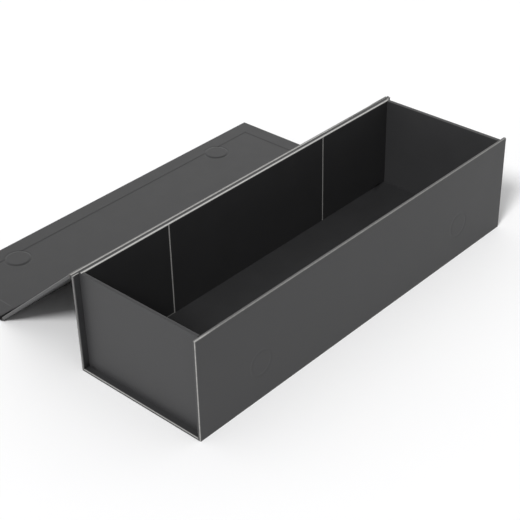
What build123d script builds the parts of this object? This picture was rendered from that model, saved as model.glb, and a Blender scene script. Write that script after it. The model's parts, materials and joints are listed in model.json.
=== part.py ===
from build123d import *
from math import asin, atan2, cos, degrees, hypot, sin, tan
import os

# A rigid board box: a paper-covered case of five panels folds round a tray that is glued into it.
# The origin is the middle of the box's underside, +X runs along the box and +Y towards the lid's
# hinge. The lid stands open over the back, and its flap lies on the table.

# Overall sizes over the covering paper, in millimetres
box_length = 376.0
box_width = 125.0
box_height = 88.0
flap_length = 82.0  # from the fold's crease to the free edge

# Boards and papers
case_board = 2.0
tray_board = 2.0
paper = 0.3
liner = 0.3
tape = 0.2
board_round_share = 0.25  # rounding of a board's edge, as a share of the board

# How far the papers turn in, lap over and stop short
turn_in = 16.0
liner_margin = 3.0
rim_tab = 15.0
tape_leg = 20.0
tape_below_tab = 1.0
lining_seam = 94.0  # from the left end of the case
seam_gap = 0.2

# How the tray sits in the case
end_recess = 5.5
side_gap = 0.2
front_drop = 4.0  # the tray's front wall stops this far below the rim

# How the lid and the flap fold and close
closing_play = 0.3
axis_standoff = 1.5  # the lid's axis is level with the rim, this far behind the back panel
back_drop = 0.8  # the back panel stops this far below the rim
hang_play = 0.2  # the hinge paper hangs this far behind the back panel
hinge_bend = 1.4  # outside radius where the hinge paper bends out to the lid
fold_play = 0.6
leg_play = 0.2  # between the hinge paper and the liner's legs

# Magnets in the flap and steel discs in the front panel
magnet_radius = 10.0
magnet_thickness = 1.5
magnet_play = 0.15
magnet_end_inset = 65.0
magnet_edge_inset = 23.0  # from the flap's free edge

overrun = 1.0  # how far a cut runs past what it cuts

# Case panels: board with paper on both sides, and with the liner over it
half_length = box_length / 2
half_width = box_width / 2
panel = case_board + 2 * paper
lined_panel = panel + liner
board_face = panel - paper
case_round = board_round_share * case_board
tray_round = board_round_share * tray_board

# Lid axis, and the slope at which the lid reaches the table or, if it is too short, hangs
axis_back = half_width + axis_standoff
axis_depth = lined_panel + closing_play  # from the lid's outside face
lid_reach = axis_back + half_width + closing_play + lined_panel
reach_share = box_height / hypot(lid_reach, axis_depth)
lid_slope = asin(min(reach_share, 1.0)) - atan2(axis_depth, lid_reach)
lid_back = axis_back - axis_depth * sin(lid_slope)
lid_height = box_height - axis_depth * cos(lid_slope)
fold_back = lid_back + lid_reach * cos(lid_slope)
fold_height = lid_height - lid_reach * sin(lid_slope)

# Paper hinges: papers and liner glued to each other, bent on arcs from panel to panel
hinge_paper = paper + liner
edge_top = box_height - back_drop
back_top = edge_top - liner
hang_back = half_width + hang_play
bend_back = hang_back + hinge_bend
bend_rise = hinge_bend - axis_depth - (bend_back - axis_back) * sin(lid_slope)
bend_height = box_height + bend_rise / cos(lid_slope)
lid_start = (bend_back - lid_back) * cos(lid_slope) + (lid_height - bend_height) * sin(lid_slope)
fold_gap = lined_panel + fold_play
fold_bend = fold_gap / tan(lid_slope / 2)
lid_stop = lid_reach - fold_gap

# Tray, from the case's inside faces inwards
tray_base = panel
tray_floor = tray_base + tray_board
lining_floor = tray_floor + paper
rim_board = box_height - paper
front_rim = box_height - front_drop
wall_outside = half_width - panel - side_gap
wall_board_outside = wall_outside - paper
wall_board_inside = wall_board_outside - tray_board
wall_inside = wall_board_inside - paper
end_outside = half_length - end_recess
end_paper_inside = end_outside - paper
end_board_outside = end_paper_inside - tape
end_board_inside = end_board_outside - tray_board
end_inside = end_board_inside - paper
seam_x = lining_seam - half_length

# Magnets, which meet the front panel's discs when the flap is closed
magnet_x = half_length - magnet_end_inset
flap_magnet_y = flap_length - magnet_edge_inset
front_disc_z = box_height + closing_play + lined_panel - flap_magnet_y

# Each panel is drawn flat, with y across it and z from its outside face, and then stood in place
front_place = Plane(origin=(0, -half_width, 0), x_dir=(-1, 0, 0), z_dir=(0, 1, 0)).location
bottom_place = Plane(origin=(0, -half_width, 0), x_dir=(1, 0, 0), z_dir=(0, 0, 1)).location
back_place = Plane(origin=(0, half_width, 0), x_dir=(1, 0, 0), z_dir=(0, -1, 0)).location
lid_place = Plane(
    origin=(0, lid_back, lid_height),
    x_dir=(1, 0, 0),
    z_dir=(0, sin(lid_slope), cos(lid_slope)),
).location
flap_place = Plane(origin=(0, fold_back, fold_height), x_dir=(1, 0, 0), z_dir=(0, 0, 1)).location


def block(x0, x1, y0, y1, z0, z1):
    middle = Pos((x0 + x1) / 2, (y0 + y1) / 2, (z0 + z1) / 2)
    return middle * Box(x1 - x0, y1 - y0, z1 - z0)


def along_length(profile, x0, x1):
    # Draws a profile of (y, z) along the box from x0 to x1
    return Pos(x0, 0, 0) * extrude(Plane.YZ * profile, x1 - x0)


def across_width(profile, y0, y1):
    # Draws a profile of (x, z) across the box from y0 to y1
    return Pos(0, y1, 0) * extrude(Plane.XZ * profile, y1 - y0)


def strip(x0, x1, base, top):
    return Pos((x0 + x1) / 2, (base + top) / 2) * Rectangle(x1 - x0, top - base)


def rounded_panel(depth, start, stop, free_edge):
    # A panel's outline, a depth below its covered faces, rounded at the ends and any free edge
    solid = block(depth - half_length, half_length - depth, start, stop, depth, panel - depth)
    edges = solid.edges().filter_by(Axis.Y)
    if free_edge:
        edges += solid.edges().filter_by(Axis.X).group_by(Axis.Y)[-1]
        edges += solid.edges().filter_by(Axis.Z).group_by(Axis.Y)[-1]
    return fillet(edges, case_round + paper - depth)


def panel_board(start, stop, free_edge):
    board_stop = stop - paper if free_edge else stop
    return rounded_panel(paper, start, board_stop, free_edge)


def panel_paper(start, stop, free_edge):
    # Covers the outside, wraps the ends and any free edge, and turns in on the inside
    window_x = half_length - turn_in
    window_stop = stop - turn_in if free_edge else stop + overrun
    window = block(-window_x, window_x, start - overrun, window_stop, board_face, panel + overrun)
    wrap = rounded_panel(0, start, stop, free_edge)
    return wrap - panel_board(start, stop, free_edge) - window


def panel_liner(start, stop, free_edge):
    # Lies on the board in the middle, steps up over the turned-in paper round it, and has a leg
    # down each hinge edge of the board
    sheet_x = half_length - liner_margin
    sheet_stop = stop - liner_margin if free_edge else stop
    pocket_x = half_length - turn_in - liner
    pocket_stop = stop - turn_in - liner if free_edge else stop + overrun
    leg_base = hinge_paper + leg_play
    sheet = block(-sheet_x, sheet_x, start, sheet_stop, board_face, lined_panel)
    sheet += block(-sheet_x, sheet_x, start - liner, start, leg_base, lined_panel)
    if not free_edge:
        sheet += block(-sheet_x, sheet_x, stop, stop + liner, leg_base, lined_panel)
    pocket = block(
        -pocket_x, pocket_x, start - overrun, pocket_stop, board_face + liner, lined_panel + overrun
    )
    return sheet - panel_paper(start, stop, free_edge) - pocket


def mitre_front(solid):
    # Cuts a panel's first edge at 45 degrees, where it meets the next panel at the corner
    far = panel + overrun
    wedge = Polygon((-overrun, -overrun), (far, far), (-overrun, far), align=None)
    return solid - along_length(wedge, -half_length - overrun, half_length + overrun)


def mitre_both(solid):
    front_cut = mitre_front(solid)
    turned = Pos(0, box_width, 0) * mirror(front_cut, about=Plane.XZ)
    return Pos(0, box_width, 0) * mirror(mitre_front(turned), about=Plane.XZ)


def disc(x, y, radius, base, top):
    return Pos(x, y, (base + top) / 2) * Cylinder(radius, top - base)


def with_pockets(board, y):
    pocket_base = board_face - magnet_thickness
    for x in (-magnet_x, magnet_x):
        board -= disc(x, y, magnet_radius + magnet_play, pocket_base, board_face + overrun)
    return board


def magnet(x, y):
    return disc(x, y, magnet_radius, board_face - magnet_thickness, board_face)


def front_board():
    board = mitre_front(panel_board(0, box_height, True))
    return front_place * with_pockets(board, front_disc_z)


def front_paper():
    return front_place * mitre_front(panel_paper(0, box_height, True))


def bottom_board():
    return bottom_place * mitre_both(panel_board(0, box_width, False))


def bottom_paper():
    return bottom_place * mitre_both(panel_paper(0, box_width, False))


def back_board():
    return back_place * mitre_front(panel_board(0, back_top, False))


def back_paper():
    return back_place * mitre_front(panel_paper(0, back_top, False))


def back_edge_liner():
    # The liner's end runs over the back panel's top edge and down inside it
    inside = half_width - panel
    leg_x = half_length - turn_in
    top = block(-half_length, half_length, inside, half_width - hinge_paper, back_top, edge_top)
    leg = block(-leg_x, leg_x, inside, inside + paper, edge_top - rim_tab, edge_top)
    return top + leg


def arc_band(middle, inner, outer, first, last):
    # A ring sector of (y, z) between two radii and two angles in degrees
    low = CenterArc(middle, inner, first, last - first)
    high = CenterArc(middle, outer, first, last - first)
    return make_face([low, high, Line(low @ 0, high @ 0), Line(low @ 1, high @ 1)])


def lid_hinge_paper():
    # Folds over the back panel's top edge, hangs behind it and bends out to the lid
    fold_round = hang_play / 2
    fold = arc_band((half_width + fold_round, back_top), fold_round, fold_round + hinge_paper, 0, 180)
    hang = strip(hang_back, hang_back + hinge_paper, bend_height, back_top)
    last = 270 - degrees(lid_slope)
    bend = arc_band((bend_back, bend_height), hinge_bend - hinge_paper, hinge_bend, 180, last)
    return along_length(fold + hang + bend, -half_length, half_length)


def lid_board():
    return lid_place * panel_board(lid_start, lid_stop, False)


def lid_paper():
    return lid_place * panel_paper(lid_start, lid_stop, False)


def lid_liner():
    return lid_place * panel_liner(lid_start, lid_stop, False)


def flap_hinge_paper():
    # Comes down from the lid and levels out into the flap
    middle = (fold_back + fold_gap, fold_height + fold_bend)
    first = 270 - degrees(lid_slope)
    band = arc_band(middle, fold_bend - hinge_paper, fold_bend, first, 270)
    return along_length(band, -half_length, half_length)


def flap_board():
    board = panel_board(fold_gap, flap_length, True)
    return flap_place * with_pockets(board, flap_magnet_y)


def flap_paper():
    return flap_place * panel_paper(fold_gap, flap_length, True)


def flap_liner():
    return flap_place * panel_liner(fold_gap, flap_length, True)


def rounded_top(x0, x1, base, top, radius):
    # A wall's section, rounded along its rim
    wall = strip(x0, x1, base, top)
    return fillet(wall.vertices().group_by(Axis.Y)[-1], radius)


def long_wall_section(rim):
    return rounded_top(wall_board_inside, wall_board_outside, tray_base, rim - paper, tray_round)


def end_wall_section():
    return rounded_top(end_board_inside, end_board_outside, tray_base, rim_board, tray_round)


def tray_floor_board():
    return block(
        -end_board_inside, end_board_inside, -wall_board_inside, wall_board_inside, tray_base, tray_floor
    )


def tray_back_board():
    return along_length(long_wall_section(box_height), -end_board_outside, end_board_outside)


def tray_front_board():
    # Lower than the other walls, and between the end walls
    wall = along_length(long_wall_section(front_rim), -end_board_inside, end_board_inside)
    return mirror(wall, about=Plane.XZ)


def tray_right_board():
    return across_width(end_wall_section(), -wall_board_outside, wall_board_inside)


def tray_left_board():
    return mirror(tray_right_board(), about=Plane.YZ)


def corner_tape(x_side, y_side):
    # Gummed tape round an outside corner of the tray, below the rim papers
    x0 = end_board_outside - tape_leg
    y0 = wall_board_outside - tape_leg
    x1 = end_board_outside + tape
    y1 = wall_board_outside + tape
    rim = front_rim if y_side < 0 else box_height
    top = rim - rim_tab - tape_below_tab
    corner = block(x0, x1, y0, y1, tray_base, top)
    boards = block(
        x0 - overrun, end_board_outside, y0 - overrun, wall_board_outside, tray_base - overrun, top + overrun
    )
    angle = corner - boards
    if x_side < 0:
        angle = mirror(angle, about=Plane.YZ)
    if y_side < 0:
        angle = mirror(angle, about=Plane.XZ)
    return angle


def right_end_paper():
    # Covers the end wall outside, goes over its rim and down inside to the floor, or to the front
    # wall's rim where the end wall passes over it
    wrap = rounded_top(end_inside, end_outside, tray_base, box_height, tray_round + paper)
    wall = rounded_top(end_board_inside, end_paper_inside, tray_base, rim_board, tray_round)
    inside_foot = strip(end_inside, end_board_inside, tray_base, tray_floor)
    below_front_rim = strip(end_inside, end_paper_inside, tray_base, front_rim)
    outside_leg = wrap - strip(end_inside, end_paper_inside, tray_base, box_height)
    saddle = across_width(wrap - wall - inside_foot, -wall_inside, wall_inside)
    saddle += across_width(wrap - wall - below_front_rim, -wall_outside, -wall_inside)
    return saddle + across_width(outside_leg, -wall_outside, wall_outside)


def left_end_paper():
    return mirror(right_end_paper(), about=Plane.YZ)


def long_wall_lining(x0, x1, rim):
    # Covers a long wall inside, goes over its rim and a short way down outside
    wrap = rounded_top(wall_inside, wall_outside, tray_floor, rim, tray_round + paper)
    outside_foot = strip(wall_board_outside, wall_outside, tray_floor, rim - rim_tab)
    inside_leg = strip(wall_inside, wall_board_inside, tray_floor, rim - paper)
    over_rim = wrap - long_wall_section(rim) - outside_foot
    inner_x0 = max(x0, -end_board_inside)
    inner_x1 = min(x1, end_board_inside)
    return along_length(over_rim - inside_leg, x0, x1) + along_length(over_rim, inner_x0, inner_x1)


def back_left_lining():
    return long_wall_lining(-end_paper_inside, seam_x - seam_gap / 2, box_height)


def back_right_lining():
    return long_wall_lining(seam_x + seam_gap / 2, end_paper_inside, box_height)


def front_lining():
    lining = long_wall_lining(-end_board_inside, end_board_inside, front_rim)
    return mirror(lining, about=Plane.XZ)


def floor_lining():
    return block(-end_inside, end_inside, -wall_inside, wall_inside, tray_floor, lining_floor)


nodes = {
    "front_board": front_board(),
    "front_paper": front_paper(),
    "bottom_board": bottom_board(),
    "bottom_paper": bottom_paper(),
    "back_board": back_board(),
    "back_paper": back_paper(),
    "back_edge_liner": back_edge_liner(),
    "lid_hinge_paper": lid_hinge_paper(),
    "lid_board": lid_board(),
    "lid_paper": lid_paper(),
    "lid_liner": lid_liner(),
    "flap_hinge_paper": flap_hinge_paper(),
    "flap_board": flap_board(),
    "flap_paper": flap_paper(),
    "flap_liner": flap_liner(),
    "tray_floor_board": tray_floor_board(),
    "tray_front_board": tray_front_board(),
    "tray_back_board": tray_back_board(),
    "tray_left_board": tray_left_board(),
    "tray_right_board": tray_right_board(),
    "left_end_paper": left_end_paper(),
    "right_end_paper": right_end_paper(),
    "front_lining": front_lining(),
    "back_left_lining": back_left_lining(),
    "back_right_lining": back_right_lining(),
    "floor_lining": floor_lining(),
}
for x_name, x_side in (("left", -1), ("right", 1)):
    nodes[f"{x_name}_flap_magnet"] = flap_place * magnet(x_side * magnet_x, flap_magnet_y)
    nodes[f"{x_name}_front_disc"] = front_place * magnet(-x_side * magnet_x, front_disc_z)
    for y_name, y_side in (("front", -1), ("back", 1)):
        nodes[f"{x_name}_{y_name}_corner_tape"] = corner_tape(x_side, y_side)

os.makedirs("parts", exist_ok=True)
for name, shape in nodes.items():
    export_step(shape, f"parts/{name}.step")
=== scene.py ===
import json
from math import cos, pi, radians, sin, tan

import bmesh
import bpy
from mathutils import Matrix, Vector, noise


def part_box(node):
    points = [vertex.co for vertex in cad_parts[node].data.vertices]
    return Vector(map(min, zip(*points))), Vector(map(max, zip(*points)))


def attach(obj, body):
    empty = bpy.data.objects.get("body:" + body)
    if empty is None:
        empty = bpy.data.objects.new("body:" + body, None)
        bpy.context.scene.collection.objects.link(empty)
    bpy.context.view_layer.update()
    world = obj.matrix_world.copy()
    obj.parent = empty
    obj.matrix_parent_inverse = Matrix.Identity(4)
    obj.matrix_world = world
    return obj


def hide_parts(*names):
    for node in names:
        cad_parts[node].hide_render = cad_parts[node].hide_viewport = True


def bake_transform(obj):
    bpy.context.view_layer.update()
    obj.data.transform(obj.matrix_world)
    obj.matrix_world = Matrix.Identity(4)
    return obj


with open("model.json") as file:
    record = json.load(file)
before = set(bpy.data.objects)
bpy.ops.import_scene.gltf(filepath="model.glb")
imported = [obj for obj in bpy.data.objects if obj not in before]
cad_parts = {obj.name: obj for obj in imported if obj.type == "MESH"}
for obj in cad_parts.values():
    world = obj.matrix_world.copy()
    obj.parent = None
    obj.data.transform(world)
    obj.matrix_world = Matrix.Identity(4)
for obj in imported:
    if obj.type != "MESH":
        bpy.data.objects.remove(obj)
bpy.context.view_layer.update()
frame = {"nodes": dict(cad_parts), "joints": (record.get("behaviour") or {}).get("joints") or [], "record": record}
nodes = frame["nodes"]
print("frame loaded:", len(nodes), "nodes")

mm = 0.001
slotOf = {row["node"]: row["material_slot"] for row in frame["record"]["subparts"]}
joints = {joint["name"]: joint for joint in frame["joints"]}


def linear(hexColour):
    values = [int(hexColour[i:i + 2], 16) / 255 for i in (1, 3, 5)]
    return [v / 12.92 if v <= 0.04045 else ((v + 0.055) / 1.055) ** 2.4 for v in values] + [1.0]


def perMm(size):
    return 1 / (size * mm)  # texture scale that gives features of about this many millimetres


def addNode(tree, kind, settings=None, inputs=None):
    node = tree.nodes.new(kind)
    for key, value in (settings or {}).items():
        setattr(node, key, value)
    for key, value in (inputs or {}).items():
        if isinstance(value, bpy.types.NodeSocket):
            tree.links.new(value, node.inputs[key])
        else:
            node.inputs[key].default_value = value
    return node


def newMaterial(name):
    material = bpy.data.materials.new(name)
    material.use_nodes = True
    tree = material.node_tree
    return material, tree, tree.nodes["Principled BSDF"]


def smooth(edge0, edge1, value):
    t = min(max((value - edge0) / (edge1 - edge0), 0), 1)
    return t * t * (3 - 2 * t)


def paperMaterial(look):
    material, tree, shader = newMaterial(look["name"])
    place = addNode(tree, "ShaderNodeTexCoord").outputs["Object"]
    fibre = addNode(tree, "ShaderNodeTexNoise", {}, {
        "Vector": place, "Scale": perMm(look["fibre"]), "Detail": 3.0, "Roughness": 0.6})
    cloud = addNode(tree, "ShaderNodeTexNoise", {}, {
        "Vector": place, "Scale": perMm(look["cloud"]), "Detail": 4.0, "Roughness": 0.55})
    paleBreakup = addNode(tree, "ShaderNodeTexNoise", {}, {
        "Vector": place, "Scale": perMm(look["paleBreakup"]), "Detail": 5.0, "Roughness": 0.7})
    tone = addNode(tree, "ShaderNodeMix", {"data_type": "RGBA"}, {
        "Factor": cloud.outputs["Fac"], "A": linear(look["dark"]), "B": linear(look["light"])})
    # Pale colour painted along edges and folds, broken up by noise: rubbed wear and painted highlight where
    # rounded edges catch the light
    wearAndHighlight = addNode(tree, "ShaderNodeAttribute", {"attribute_name": "wearAndHighlight"})
    uneven = addNode(tree, "ShaderNodeMapRange", {}, {
        "Value": paleBreakup.outputs["Fac"], "From Min": 0.3, "From Max": 0.7,
        "To Min": look["leastWearAndHighlight"], "To Max": 1.0})
    amount = addNode(tree, "ShaderNodeMath", {"operation": "MULTIPLY", "use_clamp": True}, {
        0: wearAndHighlight.outputs["Fac"], 1: uneven.outputs["Result"]})
    colour = addNode(tree, "ShaderNodeMix", {"data_type": "RGBA"}, {
        "Factor": amount.outputs["Value"], "A": tone.outputs["Result"], "B": linear(look["wearAndHighlightCore"])})
    gloss = addNode(tree, "ShaderNodeMapRange", {}, {
        "Value": cloud.outputs["Fac"], "From Min": 0.3, "From Max": 0.7,
        "To Min": look["roughness"] - 0.02, "To Max": look["roughness"] + 0.02})
    bump = addNode(tree, "ShaderNodeBump", {}, {
        "Height": fibre.outputs["Fac"], "Strength": look["grain"], "Distance": 0.05 * mm})
    for key, socket in (("Base Color", colour.outputs["Result"]), ("Roughness", gloss.outputs["Result"]),
                        ("Normal", bump.outputs["Normal"])):
        tree.links.new(socket, shader.inputs[key])
    shader.inputs["Specular IOR Level"].default_value = look["specular"]
    return material


# Wood-free paper, dyed black and coated with a soft-touch lacquer: a matt, slightly hazy face that
# turns lighter at a flat angle. A pale colour is painted along folds and edges: partly rubbed-through wear, partly
# painted highlight
coveringLook = {"name": "blackCoveringPaper", "dark": "#2f2f30", "light": "#353536", "wearAndHighlightCore": "#b9b8b5",
                "fibre": 0.35, "cloud": 28, "paleBreakup": 2.2, "leastWearAndHighlight": 0.6, "roughness": 0.5,
                "grain": 0.3, "specular": 0.4}
# Uncoated paper dyed in the mass and pasted down by hand: dull, faintly mottled by the paste
liningLook = {"name": "blackLiningPaper", "dark": "#252526", "light": "#2a2a2b", "wearAndHighlightCore": "#cccbc8",
              "fibre": 0.45, "cloud": 16, "paleBreakup": 2.2, "leastWearAndHighlight": 0.75, "roughness": 0.52,
              "grain": 0.3, "specular": 0.58}


def boardMaterial():
    # Greyboard pressed from waste paper: a flat grey-brown face with darker and lighter flecks
    material, tree, shader = newMaterial("greyboard")
    place = addNode(tree, "ShaderNodeTexCoord").outputs["Object"]
    flecks = addNode(tree, "ShaderNodeTexNoise", {}, {"Vector": place, "Scale": perMm(1.2), "Detail": 6.0})
    colour = addNode(tree, "ShaderNodeMix", {"data_type": "RGBA"}, {
        "Factor": flecks.outputs["Fac"], "A": linear("#7d776d"), "B": linear("#aaa397")})
    tree.links.new(colour.outputs["Result"], shader.inputs["Base Color"])
    shader.inputs["Roughness"].default_value = 0.9
    return material


def tapeMaterial():
    # Brown kraft paper with starch gum: fibres along the strip and a faint sheen from the gum
    material, tree, shader = newMaterial("gummedKraftTape")
    place = addNode(tree, "ShaderNodeTexCoord").outputs["Object"]
    stretch = addNode(tree, "ShaderNodeMapping", {}, {"Vector": place, "Scale": (1, 1, 0.15)})
    fibres = addNode(tree, "ShaderNodeTexNoise", {}, {
        "Vector": stretch.outputs["Vector"], "Scale": perMm(0.8), "Detail": 4.0})
    colour = addNode(tree, "ShaderNodeMix", {"data_type": "RGBA"}, {
        "Factor": fibres.outputs["Fac"], "A": linear("#9a7850"), "B": linear("#bf9c70")})
    tree.links.new(colour.outputs["Result"], shader.inputs["Base Color"])
    shader.inputs["Roughness"].default_value = 0.7
    return material


def metalMaterial(name, dark, light, roughness, grain):
    material, tree, shader = newMaterial(name)
    place = addNode(tree, "ShaderNodeTexCoord").outputs["Object"]
    marks = addNode(tree, "ShaderNodeTexNoise", {}, {"Vector": place, "Scale": perMm(grain), "Detail": 5.0})
    colour = addNode(tree, "ShaderNodeMix", {"data_type": "RGBA"}, {
        "Factor": marks.outputs["Fac"], "A": linear(dark), "B": linear(light)})
    tree.links.new(colour.outputs["Result"], shader.inputs["Base Color"])
    shader.inputs["Metallic"].default_value = 1.0
    shader.inputs["Roughness"].default_value = roughness
    return material


materials = {
    "covering_paper": paperMaterial(coveringLook),
    "lining_paper": paperMaterial(liningLook),
    "greyboard": boardMaterial(),
    "gummed_tape": tapeMaterial(),
    # Nickel plated in a barrel: bright and a little wavy
    "magnet": metalMaterial("nickelPlate", "#b9b4aa", "#cfcac0", 0.25, 3.0),
    # Punched from cold-rolled strip: grey, with the roll's dull finish
    "steel_disc": metalMaterial("coldRolledSteel", "#8f9092", "#a9aaac", 0.45, 0.8),
}
for name, node in nodes.items():
    node.data.materials.clear()
    node.data.materials.append(materials[slotOf[name]])
print("materials:", len(materials))


# Panels have local coordinates in millimetres: along the box, across the panel, out of its face
class Face:
    def __init__(self, origin, across, out):
        self.origin = Vector(origin) * mm
        self.along = Vector((1, 0, 0))
        self.across = Vector(across).normalized()
        self.out = Vector(out).normalized()

    def local(self, point):
        offset = point - self.origin
        return Vector((offset.dot(self.along), offset.dot(self.across), offset.dot(self.out))) / mm

    def world(self, local):
        return self.origin + (self.along * local[0] + self.across * local[1] + self.out * local[2]) * mm


def wearAndHighlightAt(local, lines):
    # Pale lines of rubbed wear and painted highlight. Each line runs along one axis: (axis it runs along,
    # its two other coordinates, reach, level), and where it shows only near one end, the two places between which
    # it comes in
    most = 0.0
    for axis, first, second, reach, level, *comesIn in lines:
        p, q = [local[i] for i in range(3) if i != axis]
        shown = smooth(*comesIn, local[axis]) if comesIn else 1
        away = ((p - first) ** 2 + (q - second) ** 2) ** 0.5
        most = max(most, shown * level * smooth(reach, reach / 4, away))
    return most


def finishPiece(piece, mesh):
    obj = bpy.data.objects.new(piece["name"], mesh)
    bpy.context.scene.collection.objects.link(obj)
    values = [wearAndHighlightAt(piece["face"].local(v.co), piece["wearAndHighlight"]) for v in mesh.vertices]
    mesh.attributes.new("wearAndHighlight", "FLOAT", "POINT").data.foreach_set("value", values)
    mesh.shade_smooth()
    mesh.set_sharp_from_angle(angle=radians(32))
    mesh.materials.append(materials[piece["slot"]])
    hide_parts(*piece["replaces"])
    if "body" in piece:
        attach(obj, piece["body"])
    return obj


def dressSheet(piece):
    # Cuts a copy of a packed sheet into small faces and presses its relief, if any, into it
    face = piece["face"]
    bm = bmesh.new()
    bm.from_mesh(nodes[piece["replaces"][0]].data)
    bmesh.ops.remove_doubles(bm, verts=bm.verts, dist=1e-6)
    for axis, places in enumerate(piece["cuts"]):
        normal = (face.along, face.across, face.out)[axis]
        for place in places:
            point = [0, 0, 0]
            point[axis] = place
            bmesh.ops.bisect_plane(bm, geom=bm.verts[:] + bm.edges[:] + bm.faces[:], dist=1e-7,
                                   plane_co=face.world(point), plane_no=normal)
    if "relief" in piece:
        for v in bm.verts:
            v.co += face.out * piece["relief"](face.local(v.co)) * mm
    mesh = bpy.data.meshes.new(piece["name"])
    bm.to_mesh(mesh)
    bm.free()
    finishPiece(piece, mesh)


def gridSheet(piece, rows):
    # A sheet with a thickness from rows of points on its upper face
    face, thickness = piece["face"], piece["thickness"]
    count, width = len(rows), len(rows[0])
    normals = []
    for i in range(count):
        for j in range(width):
            du = rows[min(i + 1, count - 1)][j] - rows[max(i - 1, 0)][j]
            dv = rows[i][min(j + 1, width - 1)] - rows[i][max(j - 1, 0)]
            normals.append(du.cross(dv).normalized())
    upper = [p for row in rows for p in row]
    lower = [p - n * thickness for p, n in zip(upper, normals)]
    base = len(upper)
    faces = []
    for i in range(count - 1):
        for j in range(width - 1):
            quad = (i * width + j, (i + 1) * width + j, (i + 1) * width + j + 1, i * width + j + 1)
            faces += [quad, tuple(base + k for k in reversed(quad))]
    ring = list(range(width)) + [i * width + width - 1 for i in range(1, count)]
    ring += [(count - 1) * width + j for j in range(width - 2, -1, -1)]
    ring += [i * width for i in range(count - 2, 0, -1)]
    for a, b in zip(ring, ring[1:] + ring[:1]):
        faces.append((a, b, base + b, base + a))
    mesh = bpy.data.meshes.new(piece["name"])
    mesh.from_pydata([face.world(p) for p in upper + lower], [], faces)
    mesh.update()
    return finishPiece(piece, mesh)


def steps(first, last, size):
    count = max(1, round((last - first) / size))
    return [first + (last - first) * i / count for i in range(count + 1)]


def stations(first, last, size, closer=()):
    # Even steps, with finer ones where the sheet has more detail: (from, to, step)
    found = steps(first, last, size)
    for low, high, fine in closer:
        found = [v for v in found if v < low or v > high] + steps(max(low, first), min(high, last), fine)
    return sorted(set(round(v, 4) for v in found))


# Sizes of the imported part, in millimetres
halfLength, halfWidth, panel = [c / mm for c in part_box("bottom_paper")[1]]
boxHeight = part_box("front_paper")[1].z / mm
turnIn, paperThickness, hingePaper = 16.0, 0.3, 0.6
closingPlay, foldPlay, hangPlay = 0.3, 0.6, 0.2  # room that the two folds leave
slope = radians(joints["lid_hinge"]["range_deg"][1] - 180)
lidAxis = Vector(joints["lid_hinge"]["pos_m"]) / mm
foldLine = Vector(joints["flap_hinge"]["pos_m"]) / mm
axisDepth = panel + paperThickness + closingPlay
foldGap = panel + paperThickness + foldPlay
frontFace = Face((0, -halfWidth, 0), (0, 0, 1), (0, -1, 0))
backFace = Face((0, halfWidth, 0), (0, 0, 1), (0, 1, 0))
bottomFace = Face((0, 0, 0), (0, 1, 0), (0, 0, -1))
trayFace = Face((0, 0, 0), (0, 1, 0), (0, 0, 1))
lidOut = Vector((0, sin(slope), cos(slope)))
lidFace = Face(lidAxis - lidOut * axisDepth, (0, cos(slope), -sin(slope)), lidOut)
flapFace = Face(foldLine, (0, 1, 0), (0, 0, 1))
hangY, bendRound = halfWidth + hangPlay, 1.4
bendY = hangY + bendRound
bendZ = lidAxis.z + (bendRound - axisDepth - (bendY - lidAxis.y) * sin(slope)) / cos(slope)
lidStart = (Vector((0, bendY, bendZ)) - lidFace.origin / mm).dot(lidFace.across)
lidStop = (foldLine - lidFace.origin / mm).dot(lidFace.across) - foldGap
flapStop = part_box("flap_paper")[1].y / mm - foldLine.y


def middle(name):
    return [(low + high) / 2 / mm for low, high in zip(*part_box(name))]


magnetX, magnetY = middle("right_flap_magnet")[0], middle("right_flap_magnet")[1] - foldLine.y
discZ = middle("right_front_disc")[2]


def discAway(x, y, middleY):
    return ((abs(x) - magnetX) ** 2 + (y - middleY) ** 2) ** 0.5  # from the middle of the nearer disc


def pressedRing(away, depth, radius, width):
    return -depth * smooth(width, 0, abs(away - radius))  # paper rubbed down into the joint round a disc


def ripple(x, y, size, height):
    noiseSlice = 7.3  # any plane through the noise would do
    return height * (0.5 + 0.5 * noise.noise(Vector((x / size, y / size, noiseSlice))))


def frontRelief(p):
    outside = p.z > -0.1  # the turned-in layers stay flat
    return pressedRing(discAway(p.x, p.y, discZ), depth=0.16, radius=10.5, width=1.6) if outside else 0


def closeBy(place, reach, step):
    return place - reach, place + reach, step


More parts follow.
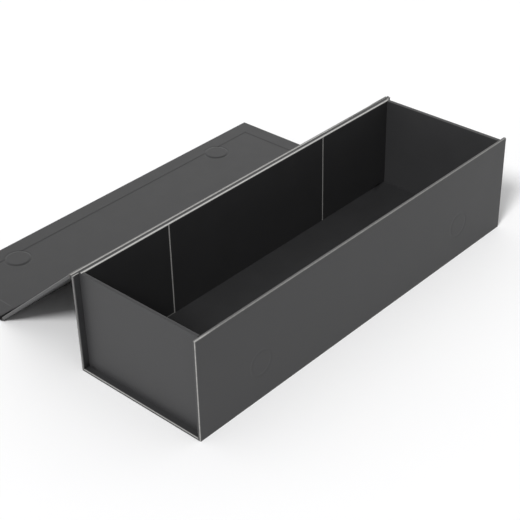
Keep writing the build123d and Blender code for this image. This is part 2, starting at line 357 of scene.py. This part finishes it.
# Where the papers are cut, finer round the discs and in a band along the edges
sides = (-1, 1)
discReach, discStep = 14, 0.7
edgeMargin, edgeBand, edgeStep = 0.1, 2.0, 0.25
endLine, topLine, flapLine = halfLength - edgeMargin, boxHeight - edgeMargin, flapStop - edgeMargin
discCuts = [closeBy(side * magnetX, discReach, discStep) for side in sides]
endCuts = [(-endLine, edgeBand - endLine, edgeStep), (endLine - edgeBand, endLine, edgeStep)]
lengthCuts = stations(-endLine, endLine, 12, endCuts)
depthCuts = steps(paperThickness, panel - paperThickness, 0.5)
inwardCuts = [-d for d in depthCuts]
# Each piece's last list gives pale lines painted along its edges: rubbed wear and painted highlight
casePapers = [
    {"name": "frontCovering", "replaces": ["front_paper"], "face": frontFace, "body": "box",
     "cuts": (stations(-endLine, endLine, 9, discCuts + endCuts),
              stations(1, topLine, 6, [closeBy(discZ, discReach, discStep),
                                       (boxHeight - edgeBand, topLine, edgeStep)]), inwardCuts),
     "relief": frontRelief,
     # Painted highlight and wear along the front's top edge and its ends, strongest at the left end, which faces
     # the lamp
     "wearAndHighlight": [(0, boxHeight, -0.3, 0.8, 0.5), (0, boxHeight, -1.5, 0.8, 0.2), (0, 0, 0, 0.8, 0.15),
              (0, boxHeight, -0.3, 1.0, 0.95, 30 - halfLength, 8 - halfLength),
              (1, -halfLength, 0, 0.9, 0.85), (1, halfLength, 0, 0.9, 0.3)]},
    {"name": "bottomCovering", "replaces": ["bottom_paper"], "face": bottomFace, "body": "box",
     "cuts": (lengthCuts, stations(1.5 - halfWidth, halfWidth - 1.5, 6), inwardCuts),
     "wearAndHighlight": [(1, side * halfLength, paperThickness - panel, 0.7, 0.7) for side in sides]},
    {"name": "backCovering", "replaces": ["back_paper"], "face": backFace, "body": "box",
     "cuts": (lengthCuts, stations(1, boxHeight - edgeBand, 8), inwardCuts),
     "wearAndHighlight": [(1, side * halfLength, -panel / 2, 1.4, 0.28) for side in sides]},
    {"name": "lidCovering", "replaces": ["lid_paper"], "face": lidFace, "body": "lid",
     "cuts": (lengthCuts, stations(lidStart + 1.3, lidStop - 2.2, 8), depthCuts),
     "wearAndHighlight": [(1, side * halfLength, panel, 0.9, 0.2) for side in sides]
             + [(1, side * halfLength, panel / 2, 1.6, 0.06) for side in sides]},
    {"name": "flapCovering", "replaces": ["flap_paper"], "face": flapFace, "body": "flap",
     "cuts": (lengthCuts, stations(foldGap + 1.5, flapLine, 8, [(flapLine - edgeBand, flapLine, edgeStep)]),
              depthCuts),
     "wearAndHighlight": [(1, side * halfLength, d, 0.9, 0.15) for side in sides for d in (0, panel)]
             + [(0, flapStop, d, 0.9, 0.15) for d in (0, panel)]},
]
for piece in casePapers:
    piece["slot"] = "covering_paper"
    dressSheet(piece)
print("case papers:", len(casePapers))

# Tray: linings and end papers over the rim
wallInside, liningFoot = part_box("back_right_lining")[0].y / mm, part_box("back_right_lining")[0].z / mm
seamX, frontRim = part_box("back_left_lining")[1].x / mm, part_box("front_lining")[1].z / mm
endOutside, endInside = [-corner.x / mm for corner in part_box("left_end_paper")]
edgeInside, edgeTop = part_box("back_edge_liner")[0].y / mm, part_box("back_edge_liner")[1].z / mm
paleLineX = 90.0  # a pale line painted down the right lining
wallEnd, edgeEnd, edgeFade = endInside + paperThickness, halfLength - 0.5, endOutside - 1.5
wallCuts = stations(-wallEnd, wallEnd, 10, [closeBy(x, reach=1.6, step=0.2) for x in (seamX, paleLineX)])
wallHeights = stations(8, boxHeight - 8, 8)
rimCuts = wallHeights + steps(boxHeight - edgeBand, topLine, edgeStep)
frontRimCuts = wallHeights + steps(frontRim - edgeBand, frontRim - edgeMargin, edgeStep)
footCuts = [liningFoot + d for d in (0.4, 0.6, 0.8, 1.0, 1.3)]
rimY = [wallInside + d for d in depthCuts]
endAcross = stations(1.1 - wallInside, wallInside - 1.1, 8)
# The rounded rim of the back linings is painted pale as a highlight, and a pale line is painted down the seam
# between them as a highlight on its raised edge
rimHighlight = [(0, wallInside, boxHeight, 0.85, 1.0), (0, wallInside + 0.7, boxHeight, 0.85, 1.0)]
seamHighlight = [(2, seamX, wallInside, 0.8, 1.0)]
# Each piece's last list gives pale lines painted along rims, seams and edges: rubbed wear and painted highlight
trayPapers = [
    {"name": "frontLining", "replaces": ["front_lining"], "slot": "lining_paper",
     "cuts": (wallCuts, [-y for y in rimY], frontRimCuts), "wearAndHighlight": [(0, -wallInside, frontRim, 0.9, 0.12)]},
    {"name": "backLeftLining", "replaces": ["back_left_lining"], "slot": "lining_paper",
     "cuts": (wallCuts, rimY, rimCuts + footCuts),
     "wearAndHighlight": rimHighlight + seamHighlight + [(0, wallInside, liningFoot + 0.6, 0.7, 0.5)]},
    {"name": "backRightLining", "replaces": ["back_right_lining"], "slot": "lining_paper",
     "cuts": (wallCuts, rimY, rimCuts), "wearAndHighlight": rimHighlight + seamHighlight + [(2, paleLineX, wallInside, 0.7, 0.9)]},
    {"name": "leftEndCovering", "replaces": ["left_end_paper"], "slot": "covering_paper",
     "cuts": ([-endOutside + d for d in depthCuts], endAcross, rimCuts),
     "wearAndHighlight": [(1, -endInside, boxHeight, 0.8, 0.15)]},
    {"name": "rightEndCovering", "replaces": ["right_end_paper"], "slot": "covering_paper",
     "cuts": ([endInside + d for d in depthCuts], endAcross, rimCuts),
     "wearAndHighlight": [(1, endInside, boxHeight, 0.8, 0.15)]},
    {"name": "floorLining", "replaces": ["floor_lining"], "slot": "lining_paper",
     "cuts": (stations(-170, 170, 12), stations(-50, 50, 10), []), "wearAndHighlight": []},
    {"name": "backEdgeLiner", "replaces": ["back_edge_liner"], "slot": "lining_paper",
     "cuts": (stations(-edgeEnd, edgeEnd, 12, [(-edgeEnd, -edgeFade, 0.5), (edgeFade, edgeEnd, 0.5)]),
              [edgeInside + d for d in depthCuts], steps(edgeTop - 1.2, edgeTop - 0.2, 0.2)),
     "wearAndHighlight": [(0, edgeInside, edgeTop, 0.9, 0.8, side * (endOutside - 0.5), side * (endOutside + 1))
              for side in sides]},
]
for piece in trayPapers:
    piece.update(face=trayFace, body="box")
    dressSheet(piece)
print("tray papers:", len(trayPapers))

# Lid and flap: liners that show the turned-in paper and the magnets under them
linerMargin = 3
sheetX = halfLength - linerMargin
boardX = halfLength - 0.4
stepX, stepReach, stepStep = halfLength - turnIn, 2, 0.4
stepCuts = [closeBy(side * stepX, stepReach, stepStep) for side in sides]
noseRound, noseSteps = 0.6, 5
legFoot, legSteps = 0.8, 4


def linerRows(piece):
    first, last = piece["reach"]
    noseZ = panel - noseRound
    legStretch = boardX / sheetX  # the legs run on to the ends of the board
    leg = []  # up a hinge edge of the board and round on to its face: (inset, out, share of the relief)
    for k in range(legSteps):
        leg.append((0, legFoot + (noseZ - legFoot) * k / legSteps, k / legSteps))
    for angle in steps(pi, pi / 2, -pi / 2 / noseSteps):
        leg.append((noseRound + noseRound * cos(angle), noseZ + noseRound * sin(angle), 1.0))
    outline = [(first - paperThickness + inset, z, share, legStretch) for inset, z, share in leg]
    outline += [(y, panel, 1.0, 1.0) for y in piece["across"]]
    if piece["foldEnd"]:
        outline += [(last + paperThickness - inset, z, share, legStretch)
                    for inset, z, share in reversed(leg)]
    else:
        outline.append((last, panel, 1.0, 1.0))
    return [[Vector((x * stretch, y, z + share * piece["relief"](x, y))) for y, z, share, stretch in outline]
            for x in piece["along"]]


def turnInRelief(x, y, freeStop):
    slopeHalf = 0.8  # half the width of the slope over the edge of the turned-in paper
    side = smooth(-slopeHalf, slopeHalf, abs(x) - stepX)
    free = smooth(-slopeHalf, slopeHalf, y - (freeStop - turnIn)) if freeStop else 0
    return paperThickness * max(side, free)


def flapRelief(x, y):
    bulge, bulgeFoot, bulgeTop = 0.48, 11.4, 9.8
    away = discAway(x, y, magnetY)
    lifted = max(turnInRelief(x, y, flapStop), bulge * smooth(bulgeFoot, bulgeTop, away))
    return ripple(x, y, size=40, height=0.05) + pressedRing(away, depth=0.2, radius=11.6, width=1.2) + lifted


lidLiner = {
    "name": "lidLiner", "replaces": ["lid_liner"], "slot": "lining_paper", "face": lidFace, "body": "lid",
    "thickness": 0.28, "reach": (lidStart, lidStop), "foldEnd": True,
    "along": stations(-sheetX, sheetX, 9, stepCuts), "across": steps(lidStart + 1, lidStop - 1, 5),
    "relief": lambda x, y: turnInRelief(x, y, None) + ripple(x, y, size=45, height=0.07),
    "wearAndHighlight": [(0, lidStart - paperThickness, panel, 1.2, 0.3)],
}
gridSheet(lidLiner, linerRows(lidLiner))
flapLiner = {
    "name": "flapLiner", "replaces": ["flap_liner"], "slot": "lining_paper", "face": flapFace, "body": "flap",
    "thickness": 0.28, "reach": (foldGap, flapStop - linerMargin), "foldEnd": False,
    "along": stations(-sheetX, sheetX, 9, stepCuts + discCuts),
    "across": stations(foldGap + 1, flapStop - linerMargin - 0.2, 5,
                       [closeBy(magnetY, discReach, discStep),
                        closeBy(flapStop - turnIn, stepReach, stepStep)]),
    "relief": flapRelief, "wearAndHighlight": [],
}
gridSheet(flapLiner, linerRows(flapLiner))
print("liners: 2")


# Paper hinges, which bend between their panels
def arc(middleY, middleZ, radius, angles):
    return [(middleY + radius * cos(a), middleZ + radius * sin(a)) for a in angles]


def hingeRows(path):
    return [[Vector((x, y, z)) for y, z in path] for x in stations(-halfLength, halfLength, 8)]


hingeTop, crestRound, hangOutside = boxHeight - 1.1, 0.7, hangY + hingePaper
path = arc(hangOutside - crestRound, hingeTop, crestRound, steps(pi, 0, -pi / 10))
path += [(hangOutside, z) for z in steps(hingeTop - 0.2, bendZ + 0.2, -0.3)]
path += arc(bendY, bendZ, bendRound - hingePaper, steps(pi, 1.5 * pi - slope, (pi / 2 - slope) / 8))
lidHinge = {
    "name": "lidHinge", "replaces": ["lid_hinge_paper"], "slot": "covering_paper", "face": trayFace,
    # The crest is painted pale along most of its length as a painted highlight on its round
    "thickness": 0.55, "wearAndHighlight": [(0, halfWidth - 0.2, hingeTop + crestRound, 1.05, 0.35),
                                (0, halfWidth - 0.2, hingeTop + crestRound, 1.05, 1.0, 175, 90)],
}
obj = gridSheet(lidHinge, hingeRows(path))
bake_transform(obj)

foldBend = foldGap / tan(slope / 2)
path = arc(foldLine.y + foldGap, foldBend, foldBend - hingePaper,
           steps(1.5 * pi - slope, 1.5 * pi, slope / 12))
flapHinge = {
    "name": "flapHinge", "replaces": ["flap_hinge_paper"], "slot": "covering_paper", "face": trayFace,
    "thickness": 0.55, "wearAndHighlight": [],
}
obj = gridSheet(flapHinge, hingeRows(path))
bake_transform(obj)
print("hinges: 2")

# Studio: a pale floor, white surroundings and one soft lamp
bpy.ops.mesh.primitive_plane_add(size=9)
floor = bpy.context.object
floor.name = "floor"
material, tree, shader = newMaterial("paintedFloor")
place = addNode(tree, "ShaderNodeTexCoord").outputs["Object"]
mottle = addNode(tree, "ShaderNodeTexNoise", {}, {"Vector": place, "Scale": 3.0, "Detail": 2.0})
colour = addNode(tree, "ShaderNodeMix", {"data_type": "RGBA"}, {
    "Factor": mottle.outputs["Fac"], "A": linear("#fbfbfc"), "B": linear("#fefefe")})
tree.links.new(colour.outputs["Result"], shader.inputs["Base Color"])
shader.inputs["Roughness"].default_value = 0.8
shader.inputs["Specular IOR Level"].default_value = 0.1
floor.data.materials.append(material)

world = bpy.data.worlds.new("whiteRoom")
bpy.context.scene.world = world
world.use_nodes = True
tree = world.node_tree
rays = addNode(tree, "ShaderNodeLightPath")
# Seen directly or through something, the surroundings are plain white
seen = addNode(tree, "ShaderNodeMath", {"operation": "MAXIMUM"}, {
    0: rays.outputs["Is Camera Ray"], 1: rays.outputs["Is Transmission Ray"]})
direction = addNode(tree, "ShaderNodeTexCoord").outputs["Generated"]
towards = addNode(tree, "ShaderNodeSeparateXYZ", {}, {"Vector": direction})
# In reflections they are bright walls under a dim ceiling, dimmer again at the front
walls = addNode(tree, "ShaderNodeMapRange", {}, {
    "Value": towards.outputs["Z"], "From Min": 0.5, "From Max": 0.9, "To Min": 1.3, "To Max": 0.25})
frontFlag = addNode(tree, "ShaderNodeMapRange", {}, {
    "Value": towards.outputs["Y"], "From Min": -0.6, "From Max": -0.1, "To Min": 0.4, "To Max": 1.0})
mirrored = addNode(tree, "ShaderNodeMath", {"operation": "MULTIPLY"}, {
    0: walls.outputs["Result"], 1: frontFlag.outputs["Result"]})
lit = addNode(tree, "ShaderNodeMix", {}, {
    "Factor": rays.outputs["Is Glossy Ray"], "A": 0.57, "B": mirrored.outputs["Value"]})
level = addNode(tree, "ShaderNodeMath", {"operation": "MAXIMUM"}, {
    0: lit.outputs["Result"], 1: seen.outputs["Value"]})
background = tree.nodes["Background"]
background.inputs["Color"].default_value = (1, 1, 1, 1)
tree.links.new(level.outputs["Value"], background.inputs["Strength"])

# A large lamp far away at the left, so its light is even over the floor and its shadow edge is soft
key = {"name": "keyLight", "from": (-0.68, -0.195, 0.707), "spread": 14, "strength": 2.15}
light = bpy.data.lights.new(key["name"], "SUN")
light.angle, light.energy = radians(key["spread"]), key["strength"]
lamp = bpy.data.objects.new(key["name"], light)
bpy.context.scene.collection.objects.link(lamp)
lamp.location = key["from"]
lamp.rotation_euler = Vector(key["from"]).to_track_quat("Z", "Y").to_euler()
print("lamps: 1")

# Camera fitted to the corners of box, lid and flap: place in metres, angles in degrees
view = {"at": (-0.66229, -0.56248, 0.60464), "azimuth": 42.774, "drop": 33.349, "roll": 1.385, "lens": 89.35}
azimuth, drop, roll = (radians(view[k]) for k in ("azimuth", "drop", "roll"))
ahead = Vector((cos(drop) * cos(azimuth), cos(drop) * sin(azimuth), -sin(drop)))
right = ahead.cross(Vector((0, 0, 1))).normalized()
down = ahead.cross(right)
right, down = right * cos(roll) + down * sin(roll), down * cos(roll) - right * sin(roll)
camera = bpy.data.objects.new("camera", bpy.data.cameras.new("camera"))
bpy.context.scene.collection.objects.link(camera)
turn = Matrix((right, -down, -ahead)).transposed().to_4x4()
camera.matrix_world = Matrix.Translation(view["at"]) @ turn
camera.data.lens = view["lens"]
camera.data.sensor_fit = "HORIZONTAL"
camera.data.clip_start = 0.01
bpy.context.scene.camera = camera
bpy.context.scene.view_settings.view_transform = "Standard"
